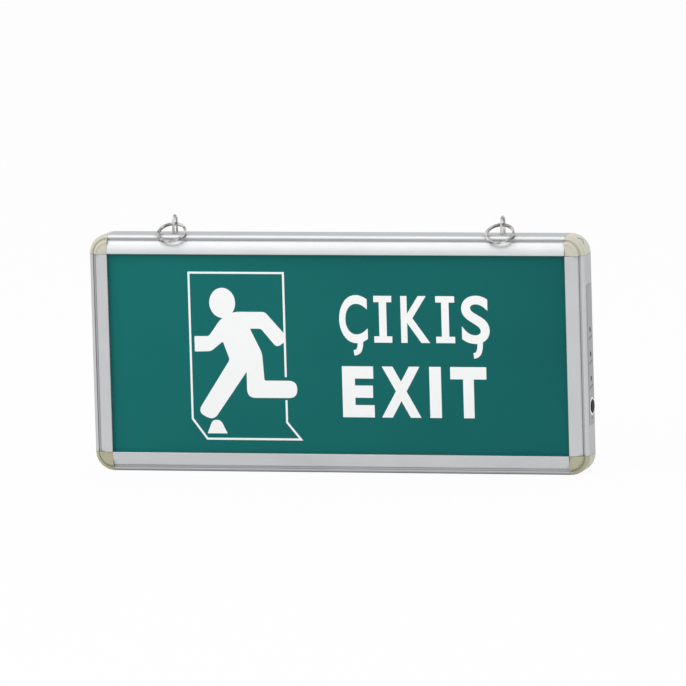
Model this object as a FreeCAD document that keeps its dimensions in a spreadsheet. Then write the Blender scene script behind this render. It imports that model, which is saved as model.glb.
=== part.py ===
"""Slim hanging emergency exit light: an aluminium picture-frame housing round a lit panel.

Millimetres.  X runs across the sign, Y from the front (-Y) to the back (+Y), Z up.  The origin
is the middle of the flat underside.  Every size comes from the sheet "dim".
"""
import FreeCAD
import Part
import Sketcher
import math
import os

doc = FreeCAD.newDocument("exit_light")
V = FreeCAD.Vector

# --------------------------------------------------------------------------- driving dimensions
DIMENSIONS = [
    ("sign_width", 320, "overall width of the framed sign"),
    ("sign_height", 150, "overall height of the framed sign"),
    ("sign_depth", 25, "overall depth of the frame profile"),
    # frame profile
    ("border_width", 12.2, "frame border seen from the front"),
    ("lip_width", 8.4, "convex inner lip of the border"),
    ("lip_drop", 2.35, "how far the lip falls back towards the groove"),
    ("lip_radius", 19.5, "radius of the lip's convex face"),
    ("lip_chamfer", 0.6, "broken outer edge of the lip"),
    ("edge_break", 0.3, "broken inner edge of the lip"),
    ("lip_return", 3.2, "depth of the leg that the panel bears on"),
    ("groove_width", 1.4, "shadow groove outside the lip"),
    ("groove_depth", 0.7, "groove floor below the rim"),
    ("rim_drop", 2.9, "how far the rim lies behind the lip's front"),
    ("edge_radius", 2.3, "rounded edge between rim and side"),
    ("profile_wall", 1.2, "wall of the aluminium profile"),
    ("chamber_width", 3.8, "hollow behind the side wall, across"),
    ("rib_height", 3.8, "slot ribs above the slot floor"),
    ("rib_wall", 1.0, "thickness of the slot ribs"),
    ("slip", 0.05, "gap between pieces that slide into the slots"),
    ("seam_gap", 0.15, "gap between a corner piece and each profile end"),
    # corner mouldings
    ("corner_face_drop", 0.9, "flat inner sector below the lip's front"),
    ("ridge_start", 6.6, "radius where the raised ridge begins"),
    ("ridge_middle", 7.7, "radius of the ridge's crest"),
    ("ridge_end", 8.8, "radius where the ridge falls away"),
    ("ridge_drop", 0.4, "ridge crest below the lip's front"),
    ("valley_start", 9.2, "inner radius of the valley floor"),
    ("valley_end", 9.7, "outer radius of the valley floor"),
    ("tongue_length", 14, "corner tongue inside the profile"),
    ("tongue_gap", 0.15, "play of the tongue in the hollow, each side"),
    ("mark_side", 7.0, "side of the triangle sunk in the corner's outer face"),
    ("mark_line", 0.8, "width of the triangle's sunk line"),
    ("mark_depth", 1.0, "depth of the triangle's sunk line"),
    # stack behind the lip
    ("sheet_inset", 7.5, "edge of panel and sheets in from the outside"),
    ("sheet_corner", 2.2, "corner radius of panel and sheets"),
    ("panel_thickness", 2.0, "printed acrylic front panel"),
    ("diffuser_thickness", 0.3, "diffuser film"),
    ("guide_thickness", 3.0, "edge-lit light guide"),
    ("reflector_thickness", 0.3, "white reflector film"),
    ("strip_thickness", 0.8, "LED strip board"),
    ("strip_width", 2.8, "LED strip board, front to back"),
    ("lead_x", 28.4, "lead of the LED strip across"),
    ("strip_end_gap", 5.8, "LED strip short of each corner seam"),
    ("chip_height", 0.7, "LED chip above its board"),
    ("chip_side", 2.2, "LED chip, square"),
    ("chip_count", 20, "LED chips on the strip"),
    ("plate_thickness", 1.0, "sheet-steel back plate"),
    # back plate openings
    ("keyhole_spacing", 200, "between the two keyholes"),
    ("keyhole_height", 118, "height of the keyholes' narrow ends"),
    ("keyhole_slot_radius", 2.1, "narrow end, for the screw's shank"),
    ("keyhole_entry_radius", 4.2, "wide end, for the screw's head"),
    ("keyhole_travel", 8, "from wide end to narrow end"),
    ("entry_radius", 6, "cable hole in the back plate"),
    ("entry_x", -52, "cable hole across"),
    ("entry_z", 96, "cable hole height"),
    ("grommet_bore", 3.5, "radius of the grommet's bore"),
    ("grommet_flange", 7.6, "radius of the grommet's flanges"),
    ("grommet_lip", 1.1, "thickness of each flange"),
    # driver electronics
    ("board_width", 96, "driver board"),
    ("board_height", 34, "driver board"),
    ("board_thickness", 1.2, "circuit boards"),
    ("board_x", 8, "middle of the driver board across"),
    ("board_z", 90, "middle of the driver board up"),
    ("standoff_length", 2.6, "board above the back plate"),
    ("standoff_radius", 2.5, "standoffs"),
    ("board_screw_radius", 1.2, "shank of the board screws"),
    ("board_screw_inset", 4, "board screws in from the board's edges"),
    ("insulation_thickness", 0.3, "insulating sheet behind the board"),
    # battery
    ("cell_radius", 5.2, "battery cell in its sleeve"),
    ("cell_length", 44, "one battery cell"),
    ("cell_count", 3, "cells in line"),
    ("battery_x", 0, "middle of the battery across"),
    ("battery_z", 42, "axis of the battery up"),
    ("clip_wall", 0.6, "battery clip"),
    ("clip_width", 8, "battery clip"),
    ("clip_spacing", 88, "between the two battery clips"),
    # indicator side
    ("led_first_z", 90.5, "top indicator lamp"),
    ("led_pitch", 15.4, "between indicator lamps"),
    ("led_count", 3, "indicator lamps"),
    ("led_radius", 1.5, "indicator lamp body"),
    ("led_hole_radius", 1.7, "holes for the lamps"),
    ("button_z", 42.4, "test button height"),
    ("button_radius", 4.4, "test button"),
    ("button_proud", 1.1, "test button above the side"),
    ("button_gap", 0.1, "running gap round the button"),
    ("button_travel", 1.0, "travel of the button"),
    ("bezel_radius", 5.6, "ring round the button"),
    ("bezel_height", 0.6, "ring above the side"),
    ("bezel_wall", 0.7, "sleeve of the ring"),
    ("label_height", 88, "plain strip on the side"),
    ("label_width", 12.6, "plain strip on the side"),
    ("label_thickness", 0.2, "plain strip on the side"),
    ("label_z", 75, "middle of the plain strip"),
    ("indicator_board_height", 78, "board behind the lamps"),
    ("indicator_board_inset", 7.4, "board in from the outside"),
    # hangers
    ("hanger_inset", 54, "each hanger in from the end of the frame"),
    ("wire_radius", 0.8, "hanger eye wire"),
    ("eye_radius", 4.0, "half the distance between the eye's legs"),
    ("eye_centre", 6.9, "middle of the eye's arch above the top"),
    ("eye_depth", 2.6, "wire inside the top wall before it turns out"),
    ("clinch_length", 2.6, "turned-out ends inside the top"),
    ("leg_hole_gap", 0.1, "gap round each leg"),
    ("ring_radius", 8.6, "split ring, middle of its band"),
    ("ring_band", 1.6, "split ring band, across its face"),
    ("ring_leaf", 0.66, "one turn of the split ring"),
    ("ring_pitch", 0.74, "from one turn to the next"),
    ("ring_offset", 1.6, "ring's band from the middle of the arch"),
    ("ring_rest", 0.2, "gap between ring and frame at rest"),
]

sheet = doc.addObject("Spreadsheet::Sheet", "dim")
for row, (alias, value, meaning) in enumerate(DIMENSIONS, start=1):
    sheet.set(f"A{row}", meaning)
    sheet.set(f"B{row}", str(value))
    sheet.setAlias(f"B{row}", alias)
doc.recompute()

nodes = []


def size(expression):
    """Value of an expression on the sheet, such as "dim.sign_width / 2"."""
    return float(sheet.evalExpression(expression))


def bind(item, **expressions):
    """Tie properties to the sheet; an underscore in a name stands for a dot."""
    for name, expression in expressions.items():
        item.setExpression(name.replace("_", "."), expression)


def node(item, label):
    """Keep an object as a finished piece of the sign."""
    item.Label = label
    nodes.append(item)
    return item


# --------------------------------------------------------------------------- places
SIDE = "dim.sign_width / 2"
TOP = "dim.sign_height"
FRONT = "-dim.sign_depth / 2"
BACK = "dim.sign_depth / 2"
PANEL_Y = f"({FRONT} + dim.lip_return + dim.slip)"
DIFFUSER_Y = f"({PANEL_Y} + dim.panel_thickness + dim.slip)"
GUIDE_Y = f"({DIFFUSER_Y} + dim.diffuser_thickness + dim.slip)"
REFLECTOR_Y = f"({GUIDE_Y} + dim.guide_thickness + dim.slip)"
RIB_DROP = (
    "(dim.lip_return + dim.panel_thickness + dim.diffuser_thickness"
    " + dim.guide_thickness + dim.reflector_thickness + 5 * dim.slip)"
)
PLATE_Y = f"({BACK} - dim.lip_return - dim.slip - dim.plate_thickness)"
PLATE_RIB_DROP = "(dim.lip_return + dim.plate_thickness + 2 * dim.slip)"
SLOT_FLOOR = "(2 * dim.profile_wall + dim.chamber_width)"
LAMP_TOP = f"({SLOT_FLOOR} + dim.slip)"
HANGER_X = f"({SIDE} - dim.hanger_inset)"


# --------------------------------------------------------------------------- sketch helpers
def origin_plane(body, role):
    """One of a body's own origin planes."""
    return next(item for item in body.Origin.OriginFeatures if item.Role == role)


def new_body(name):
    return doc.addObject("PartDesign::Body", name)


def new_sketch(body, name, role, offset=None):
    """Sketch flat on one of the body's planes, moved off it by an expression."""
    sketch = body.newObject("Sketcher::SketchObject", name)
    sketch.AttachmentSupport = (origin_plane(body, role), "")
    sketch.MapMode = "FlatFace"
    if offset:
        sketch.setExpression("AttachmentOffset.Base.z", offset)
    return sketch


def pin(sketch, curve, end, across, up):
    """Hold one end of a curve at a pair of expressions."""
    for kind, expression in (("DistanceX", across), ("DistanceY", up)):
        rule = Sketcher.Constraint(kind, -1, 1, curve, end, size(expression))
        index = sketch.addConstraint(rule)
        sketch.setExpression(f"Constraints[{index}]", expression)


def arc_between(start, end, radius, side):
    """Arc from start to end; side 1 bulges to the left of the way, -1 to the right."""
    chord = end - start
    middle = (start + end) / 2
    left = V(-chord.y, chord.x, 0).normalize()
    sagitta = radius - math.sqrt(max(radius**2 - (chord.Length / 2) ** 2, 0.0))
    return Part.Arc(start, middle + left * (side * sagitta), end)


def outline(sketch, corners):
    """Closed outline.  A corner is (across, up), or (across, up, radius, side) before an arc."""
    points = [V(size(corner[0]), size(corner[1]), 0) for corner in corners]
    first = sketch.GeometryCount
    for index, corner in enumerate(corners):
        start = points[index]
        end = points[(index + 1) % len(points)]
        if len(corner) == 2:
            sketch.addGeometry(Part.LineSegment(start, end))
            continue
        sketch.addGeometry(arc_between(start, end, size(corner[2]), corner[3]))
    for index, corner in enumerate(corners):
        curve = first + index
        following = first + (index + 1) % len(corners)
        # an arc runs anticlockwise in a sketch, so one that bulges left starts at its far end
        backwards = len(corner) == 4 and corner[3] == 1
        after = corners[(index + 1) % len(corners)]
        start_end = 2 if backwards else 1
        end_end = 1 if backwards else 2
        next_start = 2 if len(after) == 4 and after[3] == 1 else 1
        pin(sketch, curve, start_end, corner[0], corner[1])
        sketch.addConstraint(Sketcher.Constraint("Coincident", curve, end_end, following, next_start))
        if len(corner) == 4:
            rule = Sketcher.Constraint("Radius", curve, size(corner[2]))
            number = sketch.addConstraint(rule)
            sketch.setExpression(f"Constraints[{number}]", corner[2])


def circle(sketch, across, up, radius):
    """Round outline with a bound centre and radius."""
    centre = V(size(across), size(up), 0)
    curve = sketch.addGeometry(Part.Circle(centre, V(0, 0, 1), size(radius)))
    pin(sketch, curve, 3, across, up)
    number = sketch.addConstraint(Sketcher.Constraint("Radius", curve, size(radius)))
    sketch.setExpression(f"Constraints[{number}]", radius)


def rectangle(sketch, low_x, low_y, high_x, high_y):
    outline(sketch, [(low_x, low_y), (high_x, low_y), (high_x, high_y), (low_x, high_y)])


def pad(body, sketch, name, length, middle=False, reverse=False):
    feature = body.newObject("PartDesign::Pad", name)
    feature.Profile = sketch
    feature.Midplane = middle
    feature.Reversed = reverse
    feature.setExpression("Length", length)
    return feature


def pocket(body, sketch, name, length, reverse=False):
    """Cut into the solid, and make sure that something was cut."""
    doc.recompute()
    before = body.Shape.Volume
    feature = body.newObject("PartDesign::Pocket", name)
    feature.Profile = sketch
    feature.Reversed = reverse
    feature.setExpression("Length", length)
    doc.recompute()
    if body.Shape.Volume > before - 1e-3:
        raise RuntimeError(f"{name} cuts nothing")
    return feature


# --------------------------------------------------------------------------- frame profile
def front_half(points):
    """Profile corners (inset, drop) on the front, as (across, up) with the side at zero."""
    return [(f"-({inset})", f"{FRONT} + ({drop})", *arc) for inset, drop, *arc in points]


def back_half(points):
    """The same corners seen from the back, in the opposite order."""
    turned = []
    for index in range(len(points) - 1, -1, -1):
        inset, drop = points[index][:2]
        arc = points[index - 1][2:] if index else ()
        turned.append((f"-({inset})", f"{BACK} - ({drop})", *arc))
    return turned


GROOVE_OUT = "dim.border_width - dim.lip_width - dim.groove_width"
GROOVE_IN = "dim.border_width - dim.lip_width"
GROOVE_FLOOR = "dim.rim_drop + dim.groove_depth"
LEG = "dim.border_width - dim.profile_wall"

FACE = [
    ("0", "dim.rim_drop + dim.edge_radius", "dim.edge_radius", 1),
    ("dim.edge_radius", "dim.rim_drop"),
    (GROOVE_OUT, "dim.rim_drop"),
    (GROOVE_OUT, GROOVE_FLOOR),
    (GROOVE_IN, GROOVE_FLOOR),
    (GROOVE_IN, "dim.lip_drop + dim.lip_chamfer"),
    (f"{GROOVE_IN} + dim.lip_chamfer", "dim.lip_drop", "dim.lip_radius", 1),
    ("dim.border_width - dim.edge_break", "0"),
    ("dim.border_width", "dim.edge_break"),
    ("dim.border_width", "dim.lip_return"),
    (LEG, "dim.lip_return"),
    (LEG, "dim.profile_wall + dim.edge_break"),
    (SLOT_FLOOR, "dim.lip_drop + dim.lip_chamfer"),
]


def rib(drop):
    """Corners of the rib that closes a slot, the slot's side first."""
    return [
        (SLOT_FLOOR, drop),
        (f"{SLOT_FLOOR} + dim.rib_height", drop),
        (f"{SLOT_FLOOR} + dim.rib_height", f"{drop} + dim.rib_wall"),
        (SLOT_FLOOR, f"{drop} + dim.rib_wall"),
    ]


def frame_member(name, length, turn, place):
    """Length of profile along local Z, its side flat at local X = 0, turned about Y."""
    body = new_body(name)
    section = new_sketch(body, f"{name}_section", "XY_Plane")
    outline(section, front_half(FACE + rib(RIB_DROP)) + back_half(FACE + rib(PLATE_RIB_DROP)))
    chamber_drop = f"{GROOVE_FLOOR} + dim.profile_wall"
    rectangle(
        section,
        "-(dim.profile_wall + dim.chamber_width)",
        f"{FRONT} + {chamber_drop}",
        "-dim.profile_wall",
        f"{BACK} - ({chamber_drop})",
    )
    pad(body, section, f"{name}_pad", length, middle=True)
    body.Placement = FreeCAD.Placement(V(), FreeCAD.Rotation(V(0, 1, 0), turn))
    bind(body, Placement_Base_x=place[0], Placement_Base_z=place[1])
    return body


CLEAR_WIDTH = "dim.sign_width - 2 * dim.border_width - 2 * dim.seam_gap"
CLEAR_HEIGHT = "dim.sign_height - 2 * dim.border_width - 2 * dim.seam_gap"
frame_top = frame_member("frame_top", CLEAR_WIDTH, -90, ("0", TOP))
frame_bottom = frame_member("frame_bottom", CLEAR_WIDTH, 90, ("0", "0"))
frame_right = frame_member("frame_right", CLEAR_HEIGHT, 0, (SIDE, f"{TOP} / 2"))
frame_left = frame_member("frame_left", CLEAR_HEIGHT, 180, (f"-{SIDE}", f"{TOP} / 2"))

# leg holes of the hanger eyes, through the top wall into the hollow
leg_holes = new_sketch(frame_top, "leg_holes", "YZ_Plane")
for end in ("-", ""):
    for leg in ("-", ""):
        circle(
            leg_holes,
            f"{leg}dim.eye_radius",
            f"{end}{HANGER_X}",
            "dim.wire_radius + dim.leg_hole_gap",
        )
pocket(frame_top, leg_holes, "leg_hole_cut", "dim.profile_wall + dim.chamber_width / 2")

# notch in the front rib, where the lamp strip's lead comes through
NOTCH = "2.4"
notch = new_sketch(frame_top, "notch", "YZ_Plane", f"-{SLOT_FLOOR}")
rectangle(
    notch,
    f"{FRONT} + {RIB_DROP} - dim.slip",
    f"-dim.lead_x - {NOTCH} / 2",
    f"{FRONT} + {RIB_DROP} + dim.rib_wall + dim.slip",
    f"-dim.lead_x + {NOTCH} / 2",
)
pocket(frame_top, notch, "notch_cut", "dim.rib_height + dim.slip")

# lamp and button holes through both walls of the right-hand profile
lamp_holes = new_sketch(frame_right, "lamp_holes", "YZ_Plane")
for index in range(int(size("dim.led_count"))):
    height = f"dim.led_first_z - {index} * dim.led_pitch - {TOP} / 2"
    circle(lamp_holes, "0", height, "dim.led_hole_radius")
pocket(frame_right, lamp_holes, "lamp_hole_cut", SLOT_FLOOR + " + dim.rib_wall")
button_hole = new_sketch(frame_right, "button_hole", "YZ_Plane")
BEZEL_BORE = "(dim.button_radius + dim.button_gap)"
circle(
    button_hole,
    "0",
    f"dim.button_z - {TOP} / 2",
    f"{BEZEL_BORE} + dim.bezel_wall + dim.slip",
)
pocket(frame_right, button_hole, "button_hole_cut", SLOT_FLOOR + " + dim.rib_wall")
for member in (frame_top, frame_bottom, frame_left, frame_right):
    node(member, member.Name)

# --------------------------------------------------------------------------- corner mouldings
RIM_FLOOR = "dim.border_width - dim.edge_radius"
RIDGE_BLEND = "0.35"
SHOULDER_DROP = "0.45"
RIDGE_FOOT_DROP = "1.3"
SMALL_STEP = "0.1"
CORNER_FACE = [
    ("0", "dim.corner_face_drop"),
    ("dim.ridge_start", "dim.corner_face_drop"),
    (f"dim.ridge_start + {RIDGE_BLEND}", f"dim.ridge_drop + {SMALL_STEP}"),
    ("dim.ridge_middle", "dim.ridge_drop"),
    (f"dim.ridge_end - {RIDGE_BLEND}", f"dim.ridge_drop + {SHOULDER_DROP}"),
    ("dim.ridge_end", f"dim.ridge_drop + {RIDGE_FOOT_DROP}"),
    ("dim.valley_start", f"dim.rim_drop + dim.groove_depth - {SMALL_STEP}"),
    ("dim.valley_end", "dim.rim_drop + dim.groove_depth"),
    (RIM_FLOOR, "dim.rim_drop", "dim.edge_radius", -1),
    ("dim.border_width", "dim.rim_drop + dim.edge_radius"),
]
INNER_RADIUS = f"dim.border_width - {SLOT_FLOOR}"
MARK_BASE = "-0.4 * dim.mark_side"
MARK_POINT = "0.45 * dim.mark_side"
POINT_STEP = 2.3


def corner_moulding(name, turn, place):
    """Quarter-round moulding about the frame's inner corner, with a tongue for each profile."""
    body = new_body(name)
    section = new_sketch(body, f"{name}_section", "XY_Plane")
    face = [(radius, f"{FRONT} + {drop}", *arc) for radius, drop, *arc in CORNER_FACE]
    back = [(radius, f"{BACK} - ({drop})", *arc) for radius, drop, *arc in CORNER_FACE[:-2]]
    back.append(("dim.border_width", f"{BACK} - (dim.rim_drop + dim.edge_radius)", "dim.edge_radius", -1))
    rim = (RIM_FLOOR, f"{BACK} - dim.rim_drop")
    inside = [
        ("0", f"{BACK} - dim.lip_return"),
        (INNER_RADIUS, f"{BACK} - dim.lip_return"),
        (INNER_RADIUS, f"{FRONT} + dim.lip_return"),
        ("0", f"{FRONT} + dim.lip_return"),
    ]
    outline(section, face + [back[-1], rim] + back[-2::-1] + inside)
    quarter = body.newObject("PartDesign::Revolution", f"{name}_quarter")
    quarter.Profile = section
    quarter.ReferenceAxis = (section, ["V_Axis"])
    quarter.Angle = 90
    quarter.Reversed = True
    chamber_drop = f"{GROOVE_FLOOR} + dim.profile_wall + dim.tongue_gap"
    low = "dim.border_width - dim.profile_wall - dim.chamber_width + dim.tongue_gap"
    high = "dim.border_width - dim.profile_wall - dim.tongue_gap"
    for side, role in (("down", "XY_Plane"), ("across", "YZ_Plane")):
        tongue = new_sketch(body, f"{name}_tongue_{side}", role)
        near = f"{FRONT} + {chamber_drop}"
        far = f"{BACK} - ({chamber_drop})"
        if side == "down":
            rectangle(tongue, low, near, high, far)
        else:
            rectangle(tongue, near, low, far, high)
        pad(body, tongue, f"{name}_{side}", "dim.tongue_length", reverse=True)
    # sunk triangle, drawn on a plane that touches the middle of the rounded outside
    mark = new_sketch(body, f"{name}_mark", "YZ_Plane")
    slant = FreeCAD.Rotation(V(1, 0, 0), -45)
    mark.AttachmentOffset = FreeCAD.Placement(slant.multVec(V(0, 0, size("dim.border_width"))), slant)
    for line in ("0 * dim.mark_line", "dim.mark_line"):
        low = f"{MARK_BASE} + {line}"
        half = f"dim.mark_side / 2 - 2 * {line}"
        outline(mark, [(low, f"-({half})"), (f"{MARK_POINT} - {POINT_STEP} * {line}", "0"), (low, half)])
    pocket(body, mark, f"{name}_mark_cut", "dim.mark_depth")
    body.Placement = FreeCAD.Placement(V(), FreeCAD.Rotation(V(0, 1, 0), turn))
    bind(body, Placement_Base_x=place[0], Placement_Base_z=place[1])
    return node(body, name)


RIGHT_SEAM = f"({SIDE} - dim.border_width)"
TOP_SEAM = f"({TOP} - dim.border_width)"
corner_moulding("corner_top_right", 0, (RIGHT_SEAM, TOP_SEAM))
corner_moulding("corner_top_left", -90, (f"-{RIGHT_SEAM}", TOP_SEAM))
corner_moulding("corner_bottom_left", 180, (f"-{RIGHT_SEAM}", "dim.border_width"))
corner_moulding("corner_bottom_right", 90, (RIGHT_SEAM, "dim.border_width"))


# --------------------------------------------------------------------------- simple solids
TURNS = {
    "X": FreeCAD.Rotation(V(0, 1, 0), 90),
    "Y": FreeCAD.Rotation(V(1, 0, 0), -90),
    "Z": FreeCAD.Rotation(),
}


def block(name, low, spans):
    """Box from its low corner, with its spans along X, Y and Z."""
    item = doc.addObject("Part::Box", name)
    bind(item, Length=spans[0], Width=spans[1], Height=spans[2])
    bind(item, Placement_Base_x=low[0], Placement_Base_y=low[1], Placement_Base_z=low[2])
    return item


def rod(name, radius, length, start, along):
    """Cylinder from the middle of its first end, along a row axis."""
    item = doc.addObject("Part::Cylinder", name)
    item.Placement = FreeCAD.Placement(V(), TURNS[along])
    bind(item, Radius=radius, Height=length)
    bind(item, Placement_Base_x=start[0], Placement_Base_y=start[1], Placement_Base_z=start[2])
    return item


def joined(name, pieces):
    item = doc.addObject("Part::MultiFuse", name)
    item.Shapes = pieces
    return item


def group(name, pieces):
    """Separate solids kept together in one piece."""
    item = doc.addObject("Part::Compound", name)
    item.Links = pieces
    return item


def less(name, base, tools):
    item = doc.addObject("Part::Cut", name)
    item.Base = base
    item.Tool = joined(f"{name}_tools", tools) if len(tools) > 1 else tools[0]
    return item


def turned(name, corners, place, axis="H_Axis"):
    """Full revolve about local X (H_Axis) or local Y (V_Axis), then moved to its place."""
    body = new_body(name)
    section = new_sketch(body, f"{name}_section", "XY_Plane")
    outline(section, corners)
    revolution = body.newObject("PartDesign::Revolution", f"{name}_turn")
    revolution.Profile = section
    revolution.ReferenceAxis = (section, [axis])
    revolution.Angle = 360
    bind(body, Placement_Base_x=place[0], Placement_Base_y=place[1], Placement_Base_z=place[2])
    return body


def rounded_face(name, y, low_z, high_z):
    """Body with a sketch of a sheet that slides into the frame's slots, its corners round."""
    body = new_body(name)
    face = new_sketch(body, f"{name}_face", "XZ_Plane", f"-({y})")
    side = f"{SIDE} - dim.sheet_inset"
    turn = ("dim.sheet_corner", -1)
    outline(
        face,
        [
            (f"-({side}) + dim.sheet_corner", low_z),
            (f"{side} - dim.sheet_corner", low_z, *turn),
            (side, f"{low_z} + dim.sheet_corner"),
            (side, f"{high_z} - dim.sheet_corner", *turn),
            (f"{side} - dim.sheet_corner", high_z),
            (f"-({side}) + dim.sheet_corner", high_z, *turn),
            (f"-({side})", f"{high_z} - dim.sheet_corner"),
            (f"-({side})", f"{low_z} + dim.sheet_corner", *turn),
        ],
    )
    return body, face


def rounded_sheet(name, y, thickness, low_z, high_z):
    body, face = rounded_face(name, y, low_z, high_z)
    pad(body, face, f"{name}_pad", thickness, reverse=True)
    return node(body, name)


# --------------------------------------------------------------------------- lit panel
INSET = "dim.sheet_inset"
STRIP_DROP = f"({LAMP_TOP} + dim.strip_thickness)"
GUIDE_TOP = f"({TOP} - {STRIP_DROP} - dim.chip_height - 2 * dim.slip)"
rounded_sheet("front_panel", PANEL_Y, "dim.panel_thickness", INSET, f"({TOP} - {INSET})")
rounded_sheet("diffuser_sheet", DIFFUSER_Y, "dim.diffuser_thickness", INSET, GUIDE_TOP)
rounded_sheet("light_guide", GUIDE_Y, "dim.guide_thickness", INSET, GUIDE_TOP)
rounded_sheet("reflector_sheet", REFLECTOR_Y, "dim.reflector_thickness", INSET, GUIDE_TOP)

STRIP_LENGTH = "(dim.sign_width - 2 * dim.border_width - 2 * dim.strip_end_gap)"
GUIDE_MIDDLE = f"({GUIDE_Y} + dim.guide_thickness / 2)"
strip = block(
    "strip",
    (f"-{STRIP_LENGTH} / 2", f"{GUIDE_MIDDLE} - dim.strip_width / 2", f"{TOP} - {STRIP_DROP}"),
    (STRIP_LENGTH, "dim.strip_width", "dim.strip_thickness"),
)
node(strip, "led_strip")
CHIP_PITCH = f"{STRIP_LENGTH} / dim.chip_count"
chips = []
for index in range(int(size("dim.chip_count"))):
    middle = f"({index} + 0.5) * {CHIP_PITCH} - {STRIP_LENGTH} / 2"
    low = (
        f"{middle} - dim.chip_side / 2",
        f"{GUIDE_MIDDLE} - dim.chip_side / 2",
        f"{TOP} - {STRIP_DROP} - dim.chip_height",
    )
    chips.append(block(f"chip_{index}", low, ("dim.chip_side", "dim.chip_side", "dim.chip_height")))
node(group("chips", chips), "led_chips")

# --------------------------------------------------------------------------- back plate
BOARD_LOW_X = "(dim.board_x - dim.board_width / 2)"
BOARD_LOW_Z = "(dim.board_z - dim.board_height / 2)"
BOARD_CORNERS = [
    (f"(dim.board_x {across} (dim.board_width / 2 - dim.board_screw_inset))",
     f"(dim.board_z {up} (dim.board_height / 2 - dim.board_screw_inset))")
    for across in "-+"
    for up in "-+"
]

plate, plate_face = rounded_face("plate", PLATE_Y, INSET, f"({TOP} - {INSET})")
ENTRY_Z = "(dim.keyhole_height - dim.keyhole_travel)"
MOUTH_Z = f"({ENTRY_Z} + sqrt(dim.keyhole_entry_radius ^ 2 - dim.keyhole_slot_radius ^ 2))"
for end in "-+":
    hole_x = f"({end}dim.keyhole_spacing / 2)"
    slot_left = f"{hole_x} - dim.keyhole_slot_radius"
    slot_right = f"{hole_x} + dim.keyhole_slot_radius"
    outline(
        plate_face,
        [
            (slot_left, "dim.keyhole_height", "dim.keyhole_slot_radius", 1),
            (slot_right, "dim.keyhole_height"),
            (slot_right, MOUTH_Z, "dim.keyhole_entry_radius", 1),
            (hole_x, f"{ENTRY_Z} - dim.keyhole_entry_radius", "dim.keyhole_entry_radius", 1),
            (slot_left, MOUTH_Z),
        ],
    )
circle(plate_face, "dim.entry_x", "dim.entry_z", "dim.entry_radius")
pad(plate, plate_face, "plate_pad", "dim.plate_thickness", reverse=True)
node(plate, "back_plate")

GROMMET_BEVEL = "0.8"
GROMMET_WAIST = "dim.entry_radius - dim.slip"
PLATE_GAP = "dim.plate_thickness / 2 + dim.slip"
grommet = turned(
    "grommet",
    [
        ("dim.grommet_bore", f"-({PLATE_GAP} + dim.grommet_lip)"),
        (f"dim.grommet_flange - {GROMMET_BEVEL}", f"-({PLATE_GAP} + dim.grommet_lip)"),
        ("dim.grommet_flange", f"-({PLATE_GAP})"),
        (GROMMET_WAIST, f"-({PLATE_GAP})"),
        (GROMMET_WAIST, PLATE_GAP),
        ("dim.grommet_flange", PLATE_GAP),
        (f"dim.grommet_flange - {GROMMET_BEVEL}", f"{PLATE_GAP} + dim.grommet_lip"),
        ("dim.grommet_bore", f"{PLATE_GAP} + dim.grommet_lip"),
    ],
    ("dim.entry_x", f"{PLATE_Y} + dim.plate_thickness / 2", "dim.entry_z"),
    "V_Axis",
)
node(grommet, "cable_grommet")

# --------------------------------------------------------------------------- driver board
BOARD_BACK = f"({PLATE_Y} - dim.standoff_length)"
BOARD_Y = f"({BOARD_BACK} - dim.board_thickness)"
MARGIN = "1.5"
insulation = block(
    "insulation",
    (
        f"{BOARD_LOW_X} - {MARGIN}",
        f"{PLATE_Y} - dim.slip - dim.insulation_thickness",
        f"{BOARD_LOW_Z} - {MARGIN}",
    ),
    (f"dim.board_width + 2 * {MARGIN}", "dim.insulation_thickness", f"dim.board_height + 2 * {MARGIN}"),
)
board = block(
    "board",
    (BOARD_LOW_X, BOARD_Y, BOARD_LOW_Z),
    ("dim.board_width", "dim.board_thickness", "dim.board_height"),
)
DRILL = "5"
HEAD_RATIO = "1.8"
SCREW_SHORT = "0.3"
insulation_holes = []
board_holes = []
standoffs = []
screws = []
for index, (x, z) in enumerate(BOARD_CORNERS):
    wide = "dim.standoff_radius + 2 * dim.slip"
    drill_start = (x, f"{PLATE_Y} - {DRILL} + 1", z)
    insulation_holes.append(rod(f"insulation_hole_{index}", wide, DRILL, drill_start, "Y"))
    shank_hole = "dim.board_screw_radius + dim.slip"
    board_holes.append(rod(f"board_hole_{index}", shank_hole, DRILL, (x, f"{BOARD_Y} - 1", z), "Y"))
    post = rod(f"post_{index}", "dim.standoff_radius", "dim.standoff_length", (x, BOARD_BACK, z), "Y")
    bore = rod(f"bore_{index}", shank_hole, "dim.standoff_length", (x, BOARD_BACK, z), "Y")
    standoffs.append(less(f"standoff_{index}", post, [bore]))
    head_y = f"{BOARD_Y} - dim.board_screw_radius"
    head_radius = f"{HEAD_RATIO} * dim.board_screw_radius"
    head = rod(f"head_{index}", head_radius, "dim.board_screw_radius", (x, head_y, z), "Y")
    reach = f"dim.board_thickness + dim.standoff_length - {SCREW_SHORT}"
    shank = rod(f"shank_{index}", "dim.board_screw_radius", reach, (x, BOARD_Y, z), "Y")
    screws.append(joined(f"screw_{index}", [head, shank]))
node(less("insulation_cut", insulation, insulation_holes), "insulation_sheet")
node(less("board_cut", board, board_holes), "driver_board")
node(group("standoff_group", standoffs), "board_standoffs")
node(group("screw_group", screws), "board_screws")


def mounted(name, x, z, width, height, tall):
    """Box-shaped component standing on the driver board, towards the front."""
    low = (f"dim.board_x + {x}", f"{BOARD_Y} - {tall}", f"dim.board_z + {z}")
    return block(name, low, (width, tall, height))


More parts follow.
